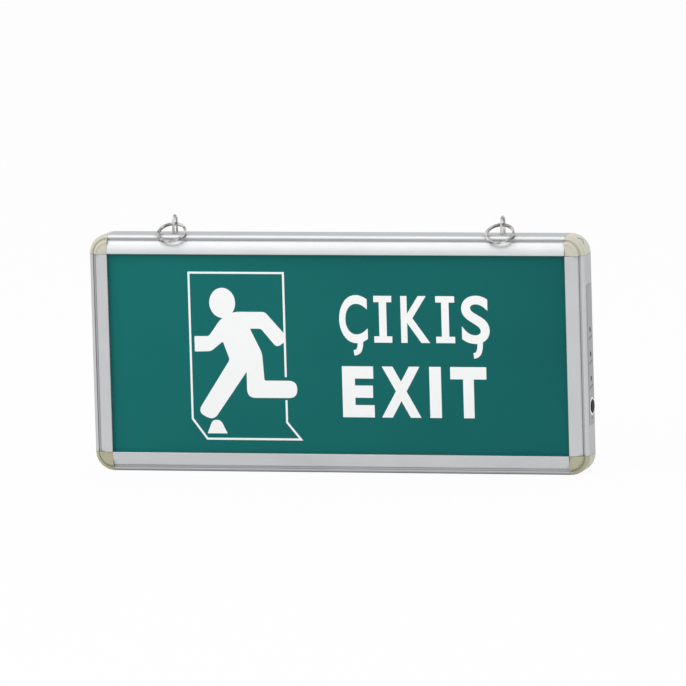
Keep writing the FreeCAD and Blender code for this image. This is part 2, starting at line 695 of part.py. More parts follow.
# left edge and lower edge from the middle of the board, then width, height and how tall it stands
CORE = ("-12", "-7", "13", "12.5", "7")
BOBBIN = ("-10.2", "-9", "9.4", "16.5", "5.8")
FILM = ("-27", "-13", "5", "12", "6.6")
WAYS_X = "-46"
WAYS_Z = "-9"
WAYS = (WAYS_X, WAYS_Z, "9", "16", "7")
core = mounted("core", *CORE)
bobbin = mounted("bobbin", *BOBBIN)
node(joined("coil", [core, bobbin]), "transformer")
CAN_RADIUS = "3.3"
CAN_LENGTH = "12"
CAN_X = "(dim.board_x + 8)"
CAN_Z = "(dim.board_z + 4)"
CRIMP_RADIUS = "3.0"
CAN_Y = f"({BOARD_Y} - {CAN_RADIUS} - {SMALL_STEP})"
can = rod("can", CAN_RADIUS, CAN_LENGTH, (CAN_X, CAN_Y, CAN_Z), "X")
crimp = rod("crimp", CRIMP_RADIUS, "1", (f"{CAN_X} + {CAN_LENGTH}", CAN_Y, CAN_Z), "X")
node(joined("electrolytic", [can, crimp]), "electrolytic_capacitor")
node(mounted("film", *FILM), "film_capacitor")
FUSE_RADIUS = "1.7"
FUSE_LENGTH = "10"
FUSE_CAP_RADIUS = "2.0"
FUSE_CAP = "3"
FUSE_X = "(dim.board_x - 33)"
FUSE_Z = "(dim.board_z + 12)"
FUSE_Y = f"({BOARD_Y} - {FUSE_CAP_RADIUS} - {SMALL_STEP})"
glass = rod("glass", FUSE_RADIUS, FUSE_LENGTH, (FUSE_X, FUSE_Y, FUSE_Z), "X")
caps = [
    rod(f"cap_{index}", FUSE_CAP_RADIUS, FUSE_CAP, (start, FUSE_Y, FUSE_Z), "X")
    for index, start in enumerate((f"{FUSE_X} - 1", f"{FUSE_X} + {FUSE_LENGTH} + 1 - {FUSE_CAP}"))
]
node(joined("fuse_body", [glass] + caps), "fuse")

# three-way terminal block: wire mouths on the left, screw wells from the front
WAY_FIRST = 2.7
WAY_PITCH = 5.3
MOUTH_RADIUS = "1.6"
MOUTH_DEPTH = "6"
MOUTH_RISE = "2.4"
WELL_RADIUS = "1.5"
WELL_DEPTH = "3"
WELL_X = f"({WAYS_X} + 4)"
WELL_START = "8"
ways = mounted("ways", *WAYS)
openings = []
for index in range(3):
    way_z = f"dim.board_z + {WAYS_Z} + {WAY_FIRST + WAY_PITCH * index}"
    mouth = (f"dim.board_x + {WAYS_X} - 1", f"{BOARD_Y} - {MOUTH_RISE}", way_z)
    openings.append(rod(f"mouth_{index}", MOUTH_RADIUS, MOUTH_DEPTH, mouth, "X"))
    well = (f"dim.board_x + {WELL_X}", f"{BOARD_Y} - {WELL_START}", way_z)
    openings.append(rod(f"well_{index}", WELL_RADIUS, WELL_DEPTH, well, "Y"))
node(less("terminals", ways, openings), "terminal_block")

# small plugs on the board's right-hand edge and upper edge
PLUG = "5"
PLUG_LONG = "6"
PLUG_X = "39"
LOW_PLUG = "-9"
HIGH_PLUG = "5"
LED_PLUG_RISE = "10"
LEAD_Y = f"({BOARD_Y} - {PLUG} / 2)"
node(mounted("battery_plug", PLUG_X, LOW_PLUG, PLUG_LONG, PLUG, PLUG), "battery_connector")
node(mounted("indicator_plug", PLUG_X, HIGH_PLUG, PLUG_LONG, PLUG, PLUG), "indicator_connector")
LED_PLUG = "4.4"
led_plug_x = f"dim.lead_x - dim.board_x - {LED_PLUG} / 2"
node(mounted("led_plug", led_plug_x, LED_PLUG_RISE, LED_PLUG, PLUG, PLUG), "led_connector")

# --------------------------------------------------------------------------- battery
BATTERY_Y = f"({PLATE_Y} - 3 * dim.slip - dim.clip_wall - dim.cell_radius)"
BATTERY_LENGTH = "(dim.cell_length * dim.cell_count)"
SLEEVE_WAIST = "0.5"
CELL_END = "0.8"
CLIP_CLEAR = "10"
sleeve = rod(
    "sleeve",
    f"dim.cell_radius - {SLEEVE_WAIST}",
    BATTERY_LENGTH,
    (f"dim.battery_x - {BATTERY_LENGTH} / 2", BATTERY_Y, "dim.battery_z"),
    "X",
)
cells = []
for index in range(int(size("dim.cell_count"))):
    start = f"dim.battery_x - {BATTERY_LENGTH} / 2 + {index} * dim.cell_length + {CELL_END}"
    place = (start, BATTERY_Y, "dim.battery_z")
    cells.append(rod(f"cell_{index}", "dim.cell_radius", f"dim.cell_length - 2 * {CELL_END}", place, "X"))
node(joined("battery", [sleeve] + cells), "battery_pack")

CLIP_BORE = "dim.cell_radius + dim.slip"
CLIP_RADIUS = f"({CLIP_BORE} + dim.clip_wall)"
for side, sign in (("left", "-"), ("right", "+")):
    x = f"dim.battery_x {sign} dim.clip_spacing / 2 - dim.clip_width / 2"
    place = (x, BATTERY_Y, "dim.battery_z")
    hoop = rod(f"hoop_{side}", CLIP_RADIUS, "dim.clip_width", place, "X")
    foot_place = (x, f"{PLATE_Y} - dim.slip - dim.clip_wall", "dim.battery_z - dim.cell_radius")
    foot = block(f"foot_{side}", foot_place, ("dim.clip_width", "dim.clip_wall", "2 * dim.cell_radius"))
    hollow = rod(f"hollow_{side}", CLIP_BORE, "dim.clip_width", place, "X")
    gap_place = (x, f"{BATTERY_Y} - {CLIP_CLEAR}", f"dim.battery_z - {CLIP_CLEAR}")
    gap_depth = f"{CLIP_CLEAR} - dim.cell_radius / 2"
    gap = block(f"gap_{side}", gap_place, ("dim.clip_width", gap_depth, f"2 * {CLIP_CLEAR}"))
    clip = less(f"clip_{side}", joined(f"spring_{side}", [hoop, foot]), [hollow, gap])
    node(clip, f"battery_clip_{side}")

# --------------------------------------------------------------------------- indicator side
INNER_RIB_BACK = f"({FRONT} + {RIB_DROP} + dim.rib_wall)"
PLATE_RIB_FRONT = f"({BACK} - {PLATE_RIB_DROP} - dim.rib_wall)"
INDICATOR_X = f"({SIDE} - dim.indicator_board_inset)"
INDICATOR_Z = "((dim.led_first_z + dim.button_z) / 2)"
indicator_board = block(
    "indicator",
    (
        f"{INDICATOR_X} - dim.board_thickness",
        f"{INNER_RIB_BACK} + dim.slip",
        f"{INDICATOR_Z} - dim.indicator_board_height / 2",
    ),
    (
        "dim.board_thickness",
        f"{PLATE_RIB_FRONT} - {INNER_RIB_BACK} - 2 * dim.slip",
        "dim.indicator_board_height",
    ),
)
node(indicator_board, "indicator_board")
LAMP_PROUD = "0.2"
LAMP_COLLAR = "0.8"
COLLAR_WALL = "0.3"
LED_REACH = f"(dim.indicator_board_inset - dim.led_radius + {LAMP_PROUD})"
for index, colour in enumerate(("mains", "charge", "fault")):
    led = turned(
        f"lamp_{colour}",
        [
            ("0", "0"),
            (LED_REACH + " + dim.led_radius", "0", "dim.led_radius", -1),
            (LED_REACH, "dim.led_radius"),
            (LAMP_COLLAR, "dim.led_radius"),
            (LAMP_COLLAR, f"dim.led_radius + {COLLAR_WALL}"),
            ("0", f"dim.led_radius + {COLLAR_WALL}"),
        ],
        (INDICATOR_X, "0", f"dim.led_first_z - {index} * dim.led_pitch"),
    )
    node(led, f"indicator_led_{colour}")

SLEEVE_DEPTH = "2.6"
SKIRT = f"({SLEEVE_DEPTH} + 2 * dim.slip)"
SKIRT_WALL = "0.5"
STEM = "0.3"
REST_GAP = "0.1"
SWITCH = f"(dim.indicator_board_inset - {SKIRT} - {SKIRT_WALL} - dim.button_travel - {REST_GAP} - {STEM})"
SWITCH_DEEP = "4.4"
SWITCH_TALL = "6"
STEM_RADIUS = "1.6"
switch_low = (INDICATOR_X, f"-{SWITCH_DEEP} / 2", f"dim.button_z - {SWITCH_TALL} / 2")
switch_case = block("switch_case", switch_low, (SWITCH, SWITCH_DEEP, SWITCH_TALL))
stem = rod("stem", STEM_RADIUS, STEM, (f"{INDICATOR_X} + {SWITCH}", "0", "dim.button_z"), "X")
node(joined("switch", [switch_case, stem]), "test_switch")

BEZEL_BEVEL = "0.3"
bezel = turned(
    "ring_bezel",
    [
        ("dim.bezel_height", BEZEL_BORE),
        ("dim.bezel_height", f"dim.bezel_radius - {BEZEL_BEVEL}"),
        (f"dim.bezel_height - {BEZEL_BEVEL}", "dim.bezel_radius"),
        ("0", "dim.bezel_radius"),
        ("0", f"{BEZEL_BORE} + dim.bezel_wall"),
        (f"-{SLEEVE_DEPTH}", f"{BEZEL_BORE} + dim.bezel_wall"),
        (f"-{SLEEVE_DEPTH}", BEZEL_BORE),
    ],
    (SIDE, "0", "dim.button_z"),
)
node(bezel, "button_bezel")
BUTTON_ROUND = "0.7"
SKIRT_PLAY = "0.2"
button = turned(
    "button",
    [
        (f"-({SKIRT} + {SKIRT_WALL})", "0"),
        ("dim.button_proud", "0"),
        ("dim.button_proud", f"dim.button_radius - {BUTTON_ROUND}", BUTTON_ROUND, 1),
        (f"dim.button_proud - {BUTTON_ROUND}", "dim.button_radius"),
        (f"-({SKIRT})", "dim.button_radius"),
        (f"-({SKIRT})", f"{BEZEL_BORE} + dim.bezel_wall - {SKIRT_PLAY}"),
        (f"-({SKIRT} + {SKIRT_WALL})", f"{BEZEL_BORE} + dim.bezel_wall - {SKIRT_PLAY}"),
    ],
    (SIDE, "0", "dim.button_z"),
)
node(button, "test_button")

WINDOW = "1"
label_low = (SIDE, "-dim.label_width / 2", "dim.label_z - dim.label_height / 2")
label = block("label", label_low, ("dim.label_thickness", "dim.label_width", "dim.label_height"))
label_holes = [rod("bezel_window", "dim.bezel_radius + dim.slip", WINDOW, (SIDE, "0", "dim.button_z"), "X")]
for index in range(int(size("dim.led_count"))):
    place = (SIDE, "0", f"dim.led_first_z - {index} * dim.led_pitch")
    label_holes.append(rod(f"lamp_window_{index}", "dim.led_hole_radius", WINDOW, place, "X"))
node(less("label_cut", label, label_holes), "indicator_label")

# --------------------------------------------------------------------------- hangers
FORWARD = FreeCAD.Rotation(V(0, 1, 0), V(0, 0, 1), V(1, 0, 0), "ZXY")
BACK_BEND = FreeCAD.Rotation(V(0, -1, 0), V(0, 0, -1), V(1, 0, 0), "ZXY")
FRONT_BEND = FreeCAD.Rotation(V(0, 1, 0), V(0, 0, -1), V(-1, 0, 0), "ZXY")
BEND = "(1.5 * dim.wire_radius)"
CLINCH_Z = f"({TOP} - dim.eye_depth - {BEND})"


def bend(name, radius, sweep, turn, place):
    """Part of a torus of the eye's wire, standing across the sign."""
    item = doc.addObject("Part::Torus", name)
    item.Angle3 = sweep
    item.Placement = FreeCAD.Placement(V(), turn)
    bind(item, Radius1=radius, Radius2="dim.wire_radius")
    bind(item, Placement_Base_x=place[0], Placement_Base_y=place[1], Placement_Base_z=place[2])
    return item


def hanger_eye(side, x):
    """Wire staple through the top wall, its ends turned out inside the hollow."""
    arch_z = f"{TOP} + dim.eye_centre"
    pieces = [bend(f"arch_{side}", "dim.eye_radius", 180, FORWARD, (x, "0", arch_z))]
    for name, sign, turn in (("back", "", BACK_BEND), ("front", "-", FRONT_BEND)):
        label = f"{name}_{side}"
        foot = (x, f"{sign}dim.eye_radius", f"{TOP} - dim.eye_depth")
        length = "dim.eye_centre + dim.eye_depth"
        pieces.append(rod(f"leg_{label}", "dim.wire_radius", length, foot, "Z"))
        elbow = (x, f"{sign}(dim.eye_radius + {BEND})", f"{TOP} - dim.eye_depth")
        pieces.append(bend(f"elbow_{label}", BEND, 90, turn, elbow))
        outer = f"dim.eye_radius + {BEND}"
        start = outer if name == "back" else f"-({outer} + dim.clinch_length - {BEND})"
        reach = f"dim.clinch_length - {BEND}"
        pieces.append(rod(f"clinch_{label}", "dim.wire_radius", reach, (x, start, CLINCH_Z), "Y"))
    return node(joined(f"eye_{side}", pieces), f"hanger_eye_{side}")


RING_TURNS = 1.75
RING_PHASES = {"left": 35, "right": 80}
ring_height = RING_TURNS * size("dim.ring_pitch") + size("dim.ring_leaf")
hinge_z = size(f"{TOP} + dim.eye_centre")
edge_y = size(f"{FRONT} + dim.rim_drop + dim.edge_radius")
edge_z = size(f"{TOP} - dim.edge_radius")
edge_reach = math.hypot(edge_y, hinge_z - edge_z)
lift = size("dim.edge_radius + dim.ring_rest") + ring_height / 2
lean = math.atan2(-edge_y, hinge_z - edge_z) + math.asin(lift / edge_reach)
print(f"ring hinge z {hinge_z:.3f}, lean from hanging {math.degrees(lean):.3f} degrees")


def split_ring(side, x, phase):
    """Flat wire wound nearly twice round, leaning forward from its eye onto the frame's edge."""
    body = new_body(f"ring_{side}")
    section = new_sketch(body, f"ring_section_{side}", "XZ_Plane")
    rectangle(
        section,
        "dim.ring_radius - dim.ring_band / 2",
        "-dim.ring_leaf / 2",
        "dim.ring_radius + dim.ring_band / 2",
        "dim.ring_leaf / 2",
    )
    coil = body.newObject("PartDesign::AdditiveHelix", f"ring_coil_{side}")
    coil.Profile = section
    coil.ReferenceAxis = (section, ["V_Axis"])
    coil.Mode = "pitch-turns-angle"
    coil.Turns = RING_TURNS
    coil.setExpression("Pitch", "dim.ring_pitch")
    down = V(0, -math.sin(lean), -math.cos(lean))
    across = V(1, 0, 0)
    normal = across.cross(down)
    tilt = FreeCAD.Rotation(across, down, normal, "ZXY")
    spin = FreeCAD.Rotation(V(0, 0, 1), phase)
    middle = V(size(x), 0, hinge_z) + down * size("dim.ring_offset + dim.ring_radius")
    centring = normal * (-RING_TURNS * size("dim.ring_pitch") / 2)
    body.Placement = FreeCAD.Placement(middle + centring, tilt.multiply(spin))
    return node(body, f"split_ring_{side}")


for side, x in (("left", f"-{HANGER_X}"), ("right", HANGER_X)):
    hanger_eye(side, x)
    split_ring(side, x, RING_PHASES[side])

# --------------------------------------------------------------------------- inner leads


def lead(name, radius, bend_radius, route):
    """Insulated lead along straight runs joined by tangent arcs."""
    points = [V(*(size(value) for value in point)) for point in route]
    edges = []
    start = points[0]
    for before, corner, after in zip(points, points[1:], points[2:]):
        arriving = (corner - before).normalize()
        leaving = (after - corner).normalize()
        half_turn = arriving.getAngle(leaving) / 2
        setback = bend_radius * math.tan(half_turn)
        arc_start = corner - arriving * setback
        arc_end = corner + leaving * setback
        inward = (leaving - arriving).normalize()
        crest = corner + inward * (bend_radius / math.cos(half_turn) - bend_radius)
        edges.append(Part.LineSegment(start, arc_start).toShape())
        edges.append(Part.Arc(arc_start, crest, arc_end).toShape())
        start = arc_end
    edges.append(Part.LineSegment(start, points[-1]).toShape())
    spine = Part.Wire(edges)
    ring = Part.Wire([Part.makeCircle(radius, points[0], points[1] - points[0])])
    item = doc.addObject("Part::Feature", f"{name}_tube")
    item.Shape = spine.makePipeShell([ring], True, True)
    return node(item, name)


LEAD_RADIUS = 0.9
BATTERY_BEND = 6
BATTERY_RUN = "9"
INDICATOR_BEND = 12
INDICATOR_RUN = "20"
INDICATOR_SAG = "7"
LED_LEAD_RADIUS = 0.35
LED_BEND = 3
BATTERY_END = f"(dim.battery_x + {BATTERY_LENGTH} / 2 + dim.slip)"
PLUG_END = f"(dim.board_x + {PLUG_X} + {PLUG_LONG} + dim.slip)"
LOW_PLUG_Z = f"(dim.board_z + {LOW_PLUG} + {PLUG} / 2)"
HIGH_PLUG_Z = f"(dim.board_z + {HIGH_PLUG} + {PLUG} / 2)"
lead(
    "battery_lead",
    LEAD_RADIUS,
    BATTERY_BEND,
    [
        (BATTERY_END, LEAD_Y, "dim.battery_z"),
        (f"{BATTERY_END} + {BATTERY_RUN}", LEAD_Y, "dim.battery_z"),
        (f"{BATTERY_END} + {BATTERY_RUN}", LEAD_Y, LOW_PLUG_Z),
        (PLUG_END, LEAD_Y, LOW_PLUG_Z),
    ],
)
INDICATOR_END = f"({INDICATOR_X} - dim.board_thickness - dim.slip)"
lead(
    "indicator_lead",
    LEAD_RADIUS,
    INDICATOR_BEND,
    [
        (INDICATOR_END, LEAD_Y, HIGH_PLUG_Z),
        (f"{INDICATOR_END} - {INDICATOR_RUN}", LEAD_Y, HIGH_PLUG_Z),
        (f"{INDICATOR_END} - 2 * {INDICATOR_RUN}", LEAD_Y, f"{HIGH_PLUG_Z} - {INDICATOR_SAG}"),
        (f"{PLUG_END} + {INDICATOR_RUN}", LEAD_Y, HIGH_PLUG_Z),
        (PLUG_END, LEAD_Y, HIGH_PLUG_Z),
    ],
)
GUIDE_LEAD_Z = f"({TOP} - {STRIP_DROP} - dim.chip_height / 2 - dim.slip)"
lead(
    "led_lead",
    LED_LEAD_RADIUS,
    LED_BEND,
    [
        ("dim.lead_x", GUIDE_MIDDLE, GUIDE_LEAD_Z),
        ("dim.lead_x", LEAD_Y, GUIDE_LEAD_Z),
        ("dim.lead_x", LEAD_Y, f"dim.board_z + {LED_PLUG_RISE} + {PLUG} + dim.slip"),
    ],
)

doc.recompute()

# --------------------------------------------------------------------------- check and write
for item in doc.Objects:
    if "Invalid" in item.State or "Error" in item.State:
        raise RuntimeError(f"{item.Name} did not compute: {item.State}")
os.makedirs("parts", exist_ok=True)
for piece in nodes:
    if piece.Shape.isNull() or not piece.Shape.isValid():
        raise RuntimeError(f"{piece.Label} has no valid shape")
    piece.Shape.exportStep(f"parts/{piece.Label}.step")
    print(f"{piece.Label:28s} {len(piece.Shape.Solids)} solid(s)  {piece.Shape.Volume:10.1f} mm3")
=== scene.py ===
import math

import bmesh
import bpy
from mathutils import Matrix, Vector
from mathutils.geometry import interpolate_bezier


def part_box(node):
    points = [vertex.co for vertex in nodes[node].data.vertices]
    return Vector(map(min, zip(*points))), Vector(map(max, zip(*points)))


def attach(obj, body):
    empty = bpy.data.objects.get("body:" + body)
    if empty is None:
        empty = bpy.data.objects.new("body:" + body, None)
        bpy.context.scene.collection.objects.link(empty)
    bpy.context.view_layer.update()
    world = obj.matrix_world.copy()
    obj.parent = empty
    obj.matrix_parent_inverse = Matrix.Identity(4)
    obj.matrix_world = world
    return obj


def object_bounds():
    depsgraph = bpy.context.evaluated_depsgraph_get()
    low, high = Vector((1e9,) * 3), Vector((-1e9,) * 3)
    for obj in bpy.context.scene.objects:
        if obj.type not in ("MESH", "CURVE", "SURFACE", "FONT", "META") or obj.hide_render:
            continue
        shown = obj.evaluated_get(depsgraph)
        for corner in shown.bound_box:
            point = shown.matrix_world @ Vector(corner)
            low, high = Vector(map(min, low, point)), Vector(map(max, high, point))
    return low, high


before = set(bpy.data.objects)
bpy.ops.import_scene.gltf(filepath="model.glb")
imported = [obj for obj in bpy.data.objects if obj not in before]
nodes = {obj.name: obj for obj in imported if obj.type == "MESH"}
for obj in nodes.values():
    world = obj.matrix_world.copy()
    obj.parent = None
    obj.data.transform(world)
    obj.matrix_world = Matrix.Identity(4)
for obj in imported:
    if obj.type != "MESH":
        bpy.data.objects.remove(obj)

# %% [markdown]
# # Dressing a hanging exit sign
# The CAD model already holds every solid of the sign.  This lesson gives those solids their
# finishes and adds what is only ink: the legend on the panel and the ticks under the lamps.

MM = 0.001
cad_low, cad_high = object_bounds()
print(f"{len(nodes)} CAD pieces, box {[round(v, 4) for v in cad_high - cad_low]} m")

# %% [markdown]
# ## Shader maths that reads like maths
# A material is a graph of nodes.  Wiring each node by hand hides the idea, so a small class wraps a
# socket and turns plus, minus and times into Math nodes.  The reflected forms let a plain number
# stand first, as in 1 - mask.

# %% Wires
class Wire:
    """One output of a node; arithmetic on it adds Math nodes."""

    def __init__(self, graph, socket):
        self.graph = graph
        self.socket = socket

    def math(self, operation, first, second):
        """Math node on two wires or numbers."""
        return self.graph.add("ShaderNodeMath", {"operation": operation}, {0: first, 1: second})

    def __add__(self, other):
        return self.math("ADD", self, other)

    def __sub__(self, other):
        return self.math("SUBTRACT", self, other)

    def __rsub__(self, other):
        return self.math("SUBTRACT", other, self)

    def __mul__(self, other):
        return self.math("MULTIPLY", self, other)

    __radd__ = __add__
    __rmul__ = __mul__


print("wires know +, - and *")

# %% [markdown]
# ## One way to make a node
# A graph makes any node in one call: its type, its settings, then what goes into it.  The studio's
# floor and world use the graph as it is; a finish is a graph that also owns a material and its
# Principled shader.

# %% Graphs
class Graph:
    """A tree of nodes."""

    def __init__(self, tree):
        self.tree = tree

    def feed(self, node, inputs):
        """Link each wire to its socket of a node, and set each constant on it."""
        for key, value in inputs.items():
            if isinstance(value, Wire):
                self.tree.links.new(value.socket, node.inputs[key])
            else:
                node.inputs[key].default_value = value

    def add(self, kind, settings=None, inputs=None, output=0):
        """Make a node from its type, its settings, and the values or wires of its sockets."""
        node = self.tree.nodes.new(kind)
        for key, value in (settings or {}).items():
            setattr(node, key, value)
        self.feed(node, inputs or {})
        return Wire(self, node.outputs[output])


print("graphs make a node in one call")

# %% Finishes
RELIEF_STRENGTH = 0.5
# sockets of a Mix node that mixes colours, which share their names with its other sockets
MIX_FIRST = 6
MIX_SECOND = 7
MIX_RESULT = 2


class Finish(Graph):
    """A material with a Principled shader, whose constants sit on the shader's own sockets."""

    def __init__(self, name, **constants):
        self.material = bpy.data.materials.new(name)
        self.material.use_nodes = True
        super().__init__(self.material.node_tree)
        self.shader = self.tree.nodes["Principled BSDF"]
        self.feed(self.shader, {key.replace("_", " "): value for key, value in constants.items()})

    def noise(self, scale, stretch=(1, 1, 1), detail=3, roughness=0.5):
        """Noise on Object coordinates, from 0 to 1, drawn out where stretch is small."""
        place = self.add("ShaderNodeTexCoord", output="Object")
        drawn = self.add("ShaderNodeMapping", {}, {"Vector": place, "Scale": stretch})
        levels = {"Vector": drawn, "Scale": scale, "Detail": detail, "Roughness": roughness}
        return self.add("ShaderNodeTexNoise", {}, levels)

    def place_along(self, axis):
        """Object coordinate along an axis, in metres."""
        place = self.add("ShaderNodeTexCoord", output="Object")
        return self.add("ShaderNodeSeparateXYZ", {}, {"Vector": place}, output=axis)

    def between(self, factor, dark, light):
        """Colour that runs from dark to light with a factor; each is three numbers or a wire."""
        first, second = (c if isinstance(c, Wire) else (*c, 1) for c in (dark, light))
        tones = {"Factor": factor, MIX_FIRST: first, MIX_SECOND: second}
        return self.add("ShaderNodeMix", {"data_type": "RGBA"}, tones, output=MIX_RESULT)

    def surface(self, colour, roughness, height, depth):
        """Send varying colour, roughness and relief of some depth to the shader."""
        relief = {"Height": height, "Strength": RELIEF_STRENGTH, "Distance": depth}
        normal = self.add("ShaderNodeBump", {}, relief)
        self.feed(self.shader, {"Base Color": colour, "Roughness": roughness, "Normal": normal})
        return self.material


print("finishes vary colour, roughness and relief")

# %% [markdown]
# ## Anodised aluminium
# The frame is extruded, so its faint die lines run along each length, and anodising leaves them
# satin.  A drawn pattern could show them, but it would repeat.  Noise that is squeezed across the
# length and drawn out along it doesn't.  The grooves get painted shade: Ambient Occlusion finds
# them from the shape alone, and the colour there runs towards grey.

# %% Anodised aluminium
DIE_LINE_STRETCH = {"X": (0.02, 1, 1), "Z": (1, 1, 0.02)}
DIE_LINE_SHARE = 0.55
DIE_LINE_ROUGHNESS = 0.14
DIE_LINE_DEPTH = 0.000012
METAL_DARK = (0.50, 0.51, 0.52)
METAL_LIGHT = (0.65, 0.66, 0.67)
METAL_ROUGHNESS = 0.35
METAL_TINT = (0.7, 0.7, 0.71, 1)
GROOVE_PAINTED_SHADE = (0.10, 0.10, 0.105)
PAINTED_SHADE_REACH = 3 * MM


def anodised_aluminium(name, along):
    """Satin aluminium with die lines along "X" or "Z", and painted shade darkening its grooves."""
    finish = Finish(name, Metallic=0.85, Specular_Tint=METAL_TINT)
    reach = {"Distance": PAINTED_SHADE_REACH}
    painted_shade_mask = finish.add("ShaderNodeAmbientOcclusion", {"samples": 8}, reach, "AO")
    die_lines = finish.noise(scale=2600, stretch=DIE_LINE_STRETCH[along], detail=4, roughness=0.6)
    cloud = finish.noise(scale=45, detail=2)
    tone = die_lines * DIE_LINE_SHARE + cloud * (1 - DIE_LINE_SHARE)
    metal = finish.between(tone, METAL_DARK, METAL_LIGHT)
    # painted shade: where Ambient Occlusion finds grooves and seams, the colour runs towards grey
    colour = finish.between(painted_shade_mask, GROOVE_PAINTED_SHADE, metal)
    roughness = die_lines * DIE_LINE_ROUGHNESS + METAL_ROUGHNESS
    return finish.surface(colour, roughness, die_lines, DIE_LINE_DEPTH)


FRAME_ALONG = {"frame_top": "X", "frame_bottom": "X", "frame_left": "Z", "frame_right": "Z"}
finishes = {}
for member, along in FRAME_ALONG.items():
    finishes[member] = anodised_aluminium(f"{member}_aluminium", along)
print("aluminium on", sorted(finishes))

# %% [markdown]
# ## Moulded corners
# The corners are a warm, slightly yellowed plastic, and the lower pair is a little darker and
# greener.  Two finishes could do that, but a colour that follows the height needs only one.  A fine
# pebble and a soft coat give the mould's gloss.

# %% Moulded corners
CORNER_LOW = (0.42, 0.40, 0.262)
CORNER_HIGH = (0.66, 0.64, 0.54)
HEIGHT_SHARE = 0.85
CORNER_ROUGHNESS = 0.3
CORNER_ROUGHNESS_DRIFT = 0.12
PEBBLE_DEPTH = 0.000008


def corner_plastic():
    """Warm plastic that is darker and greener lower down on the sign."""
    finish = Finish("corner_plastic", Coat_Weight=0.25, Coat_Roughness=0.18, IOR=1.47)
    upward = finish.place_along("Z") * (1 / cad_high.z)
    cloud = finish.noise(scale=160, detail=3)
    tone = upward * HEIGHT_SHARE + cloud * (1 - HEIGHT_SHARE)
    colour = finish.between(tone, CORNER_LOW, CORNER_HIGH)
    pebble = finish.noise(scale=3200, detail=2)
    roughness = cloud * CORNER_ROUGHNESS_DRIFT + CORNER_ROUGHNESS
    return finish.surface(colour, roughness, pebble, PEBBLE_DEPTH)


corner_finish = corner_plastic()
for corner in (name for name in nodes if name.startswith("corner_")):
    finishes[corner] = corner_finish
print("corner plastic fades down from", round(cad_high.z, 3), "m")

# %% [markdown]
# ## The green panel and its ink
# The panel is a green sheet with the legend in white ink on its face.  One even green could do, but
# a sheet lit from its edge is never quite even, so the green drifts slowly at random; on top of
# that, painted light makes it lighter on the left and darker on the right.  Ink has a fine grain of
# its own, which shows in its colour and in its gloss.

# %% Panel green and legend white
GREEN_DARK = (0.0057, 0.092, 0.092)
GREEN_LIGHT = (0.0105, 0.177, 0.165)
GREEN_MIDDLE_TONE = 0.35
PAINTED_LIGHT_FADE_PER_METRE = 1.4
GREEN_DRIFT = 0.5
GREEN_ROUGHNESS = 0.36
GREEN_DEPTH = 0.000004
WHITE_DARK = (0.96, 0.97, 0.97)
WHITE_LIGHT = (0.99, 0.99, 0.99)
WHITE_ROUGHNESS = 0.45
WHITE_DEPTH = 0.000003
ROUGHNESS_DRIFT = 0.1


def panel_green():
    """Matt green with painted light, lighter on the left and fading darker to the right."""
    finish = Finish("panel_green", Specular_IOR_Level=0.05)
    drift = finish.noise(scale=9, detail=2)
    # painted light: the green is lighter on the left and darker on the right
    across = GREEN_MIDDLE_TONE - finish.place_along("X") * PAINTED_LIGHT_FADE_PER_METRE
    colour = finish.between(drift * GREEN_DRIFT + across, GREEN_DARK, GREEN_LIGHT)
    roughness = finish.noise(scale=220) * ROUGHNESS_DRIFT + GREEN_ROUGHNESS
    return finish.surface(colour, roughness, finish.noise(scale=900), GREEN_DEPTH)


def legend_white():
    """White ink with a fine grain."""
    finish = Finish("legend_white", Specular_IOR_Level=0.15)
    ink = finish.noise(scale=600)
    colour = finish.between(ink, WHITE_DARK, WHITE_LIGHT)
    return finish.surface(colour, ink * ROUGHNESS_DRIFT + WHITE_ROUGHNESS, ink, WHITE_DEPTH)


finishes["front_panel"] = panel_green()
white_ink = legend_white()
print("panel and ink:", finishes["front_panel"].name, white_ink.name)

# %% [markdown]
# ## Everything else that is moulded, plated or drawn
# The remaining parts need a colour that mottles, a roughness and a little relief at their own
# scale.  Each could have a function of its own, but they would differ only in their numbers.  So
# one function holds the recipe, and a table names each finish and where it goes.

# %% Plain finishes
MOTTLE_ROUGHNESS = 0.12
NOISE_MIDDLE = 0.5
FINE = 0.000005
COARSE = 0.00003


def mottled(name, dark, light, rough, grain, depth, contrast=1.0, **constants):
    """Colour between two tones by a noise of the given grain, which also roughens the surface."""
    finish = Finish(name, **constants)
    patch = finish.noise(scale=grain, detail=4)
    about_middle = patch - NOISE_MIDDLE
    colour = finish.between(about_middle * contrast + NOISE_MIDDLE, dark, light)
    return finish.surface(colour, about_middle * MOTTLE_ROUGHNESS + rough, patch, depth)


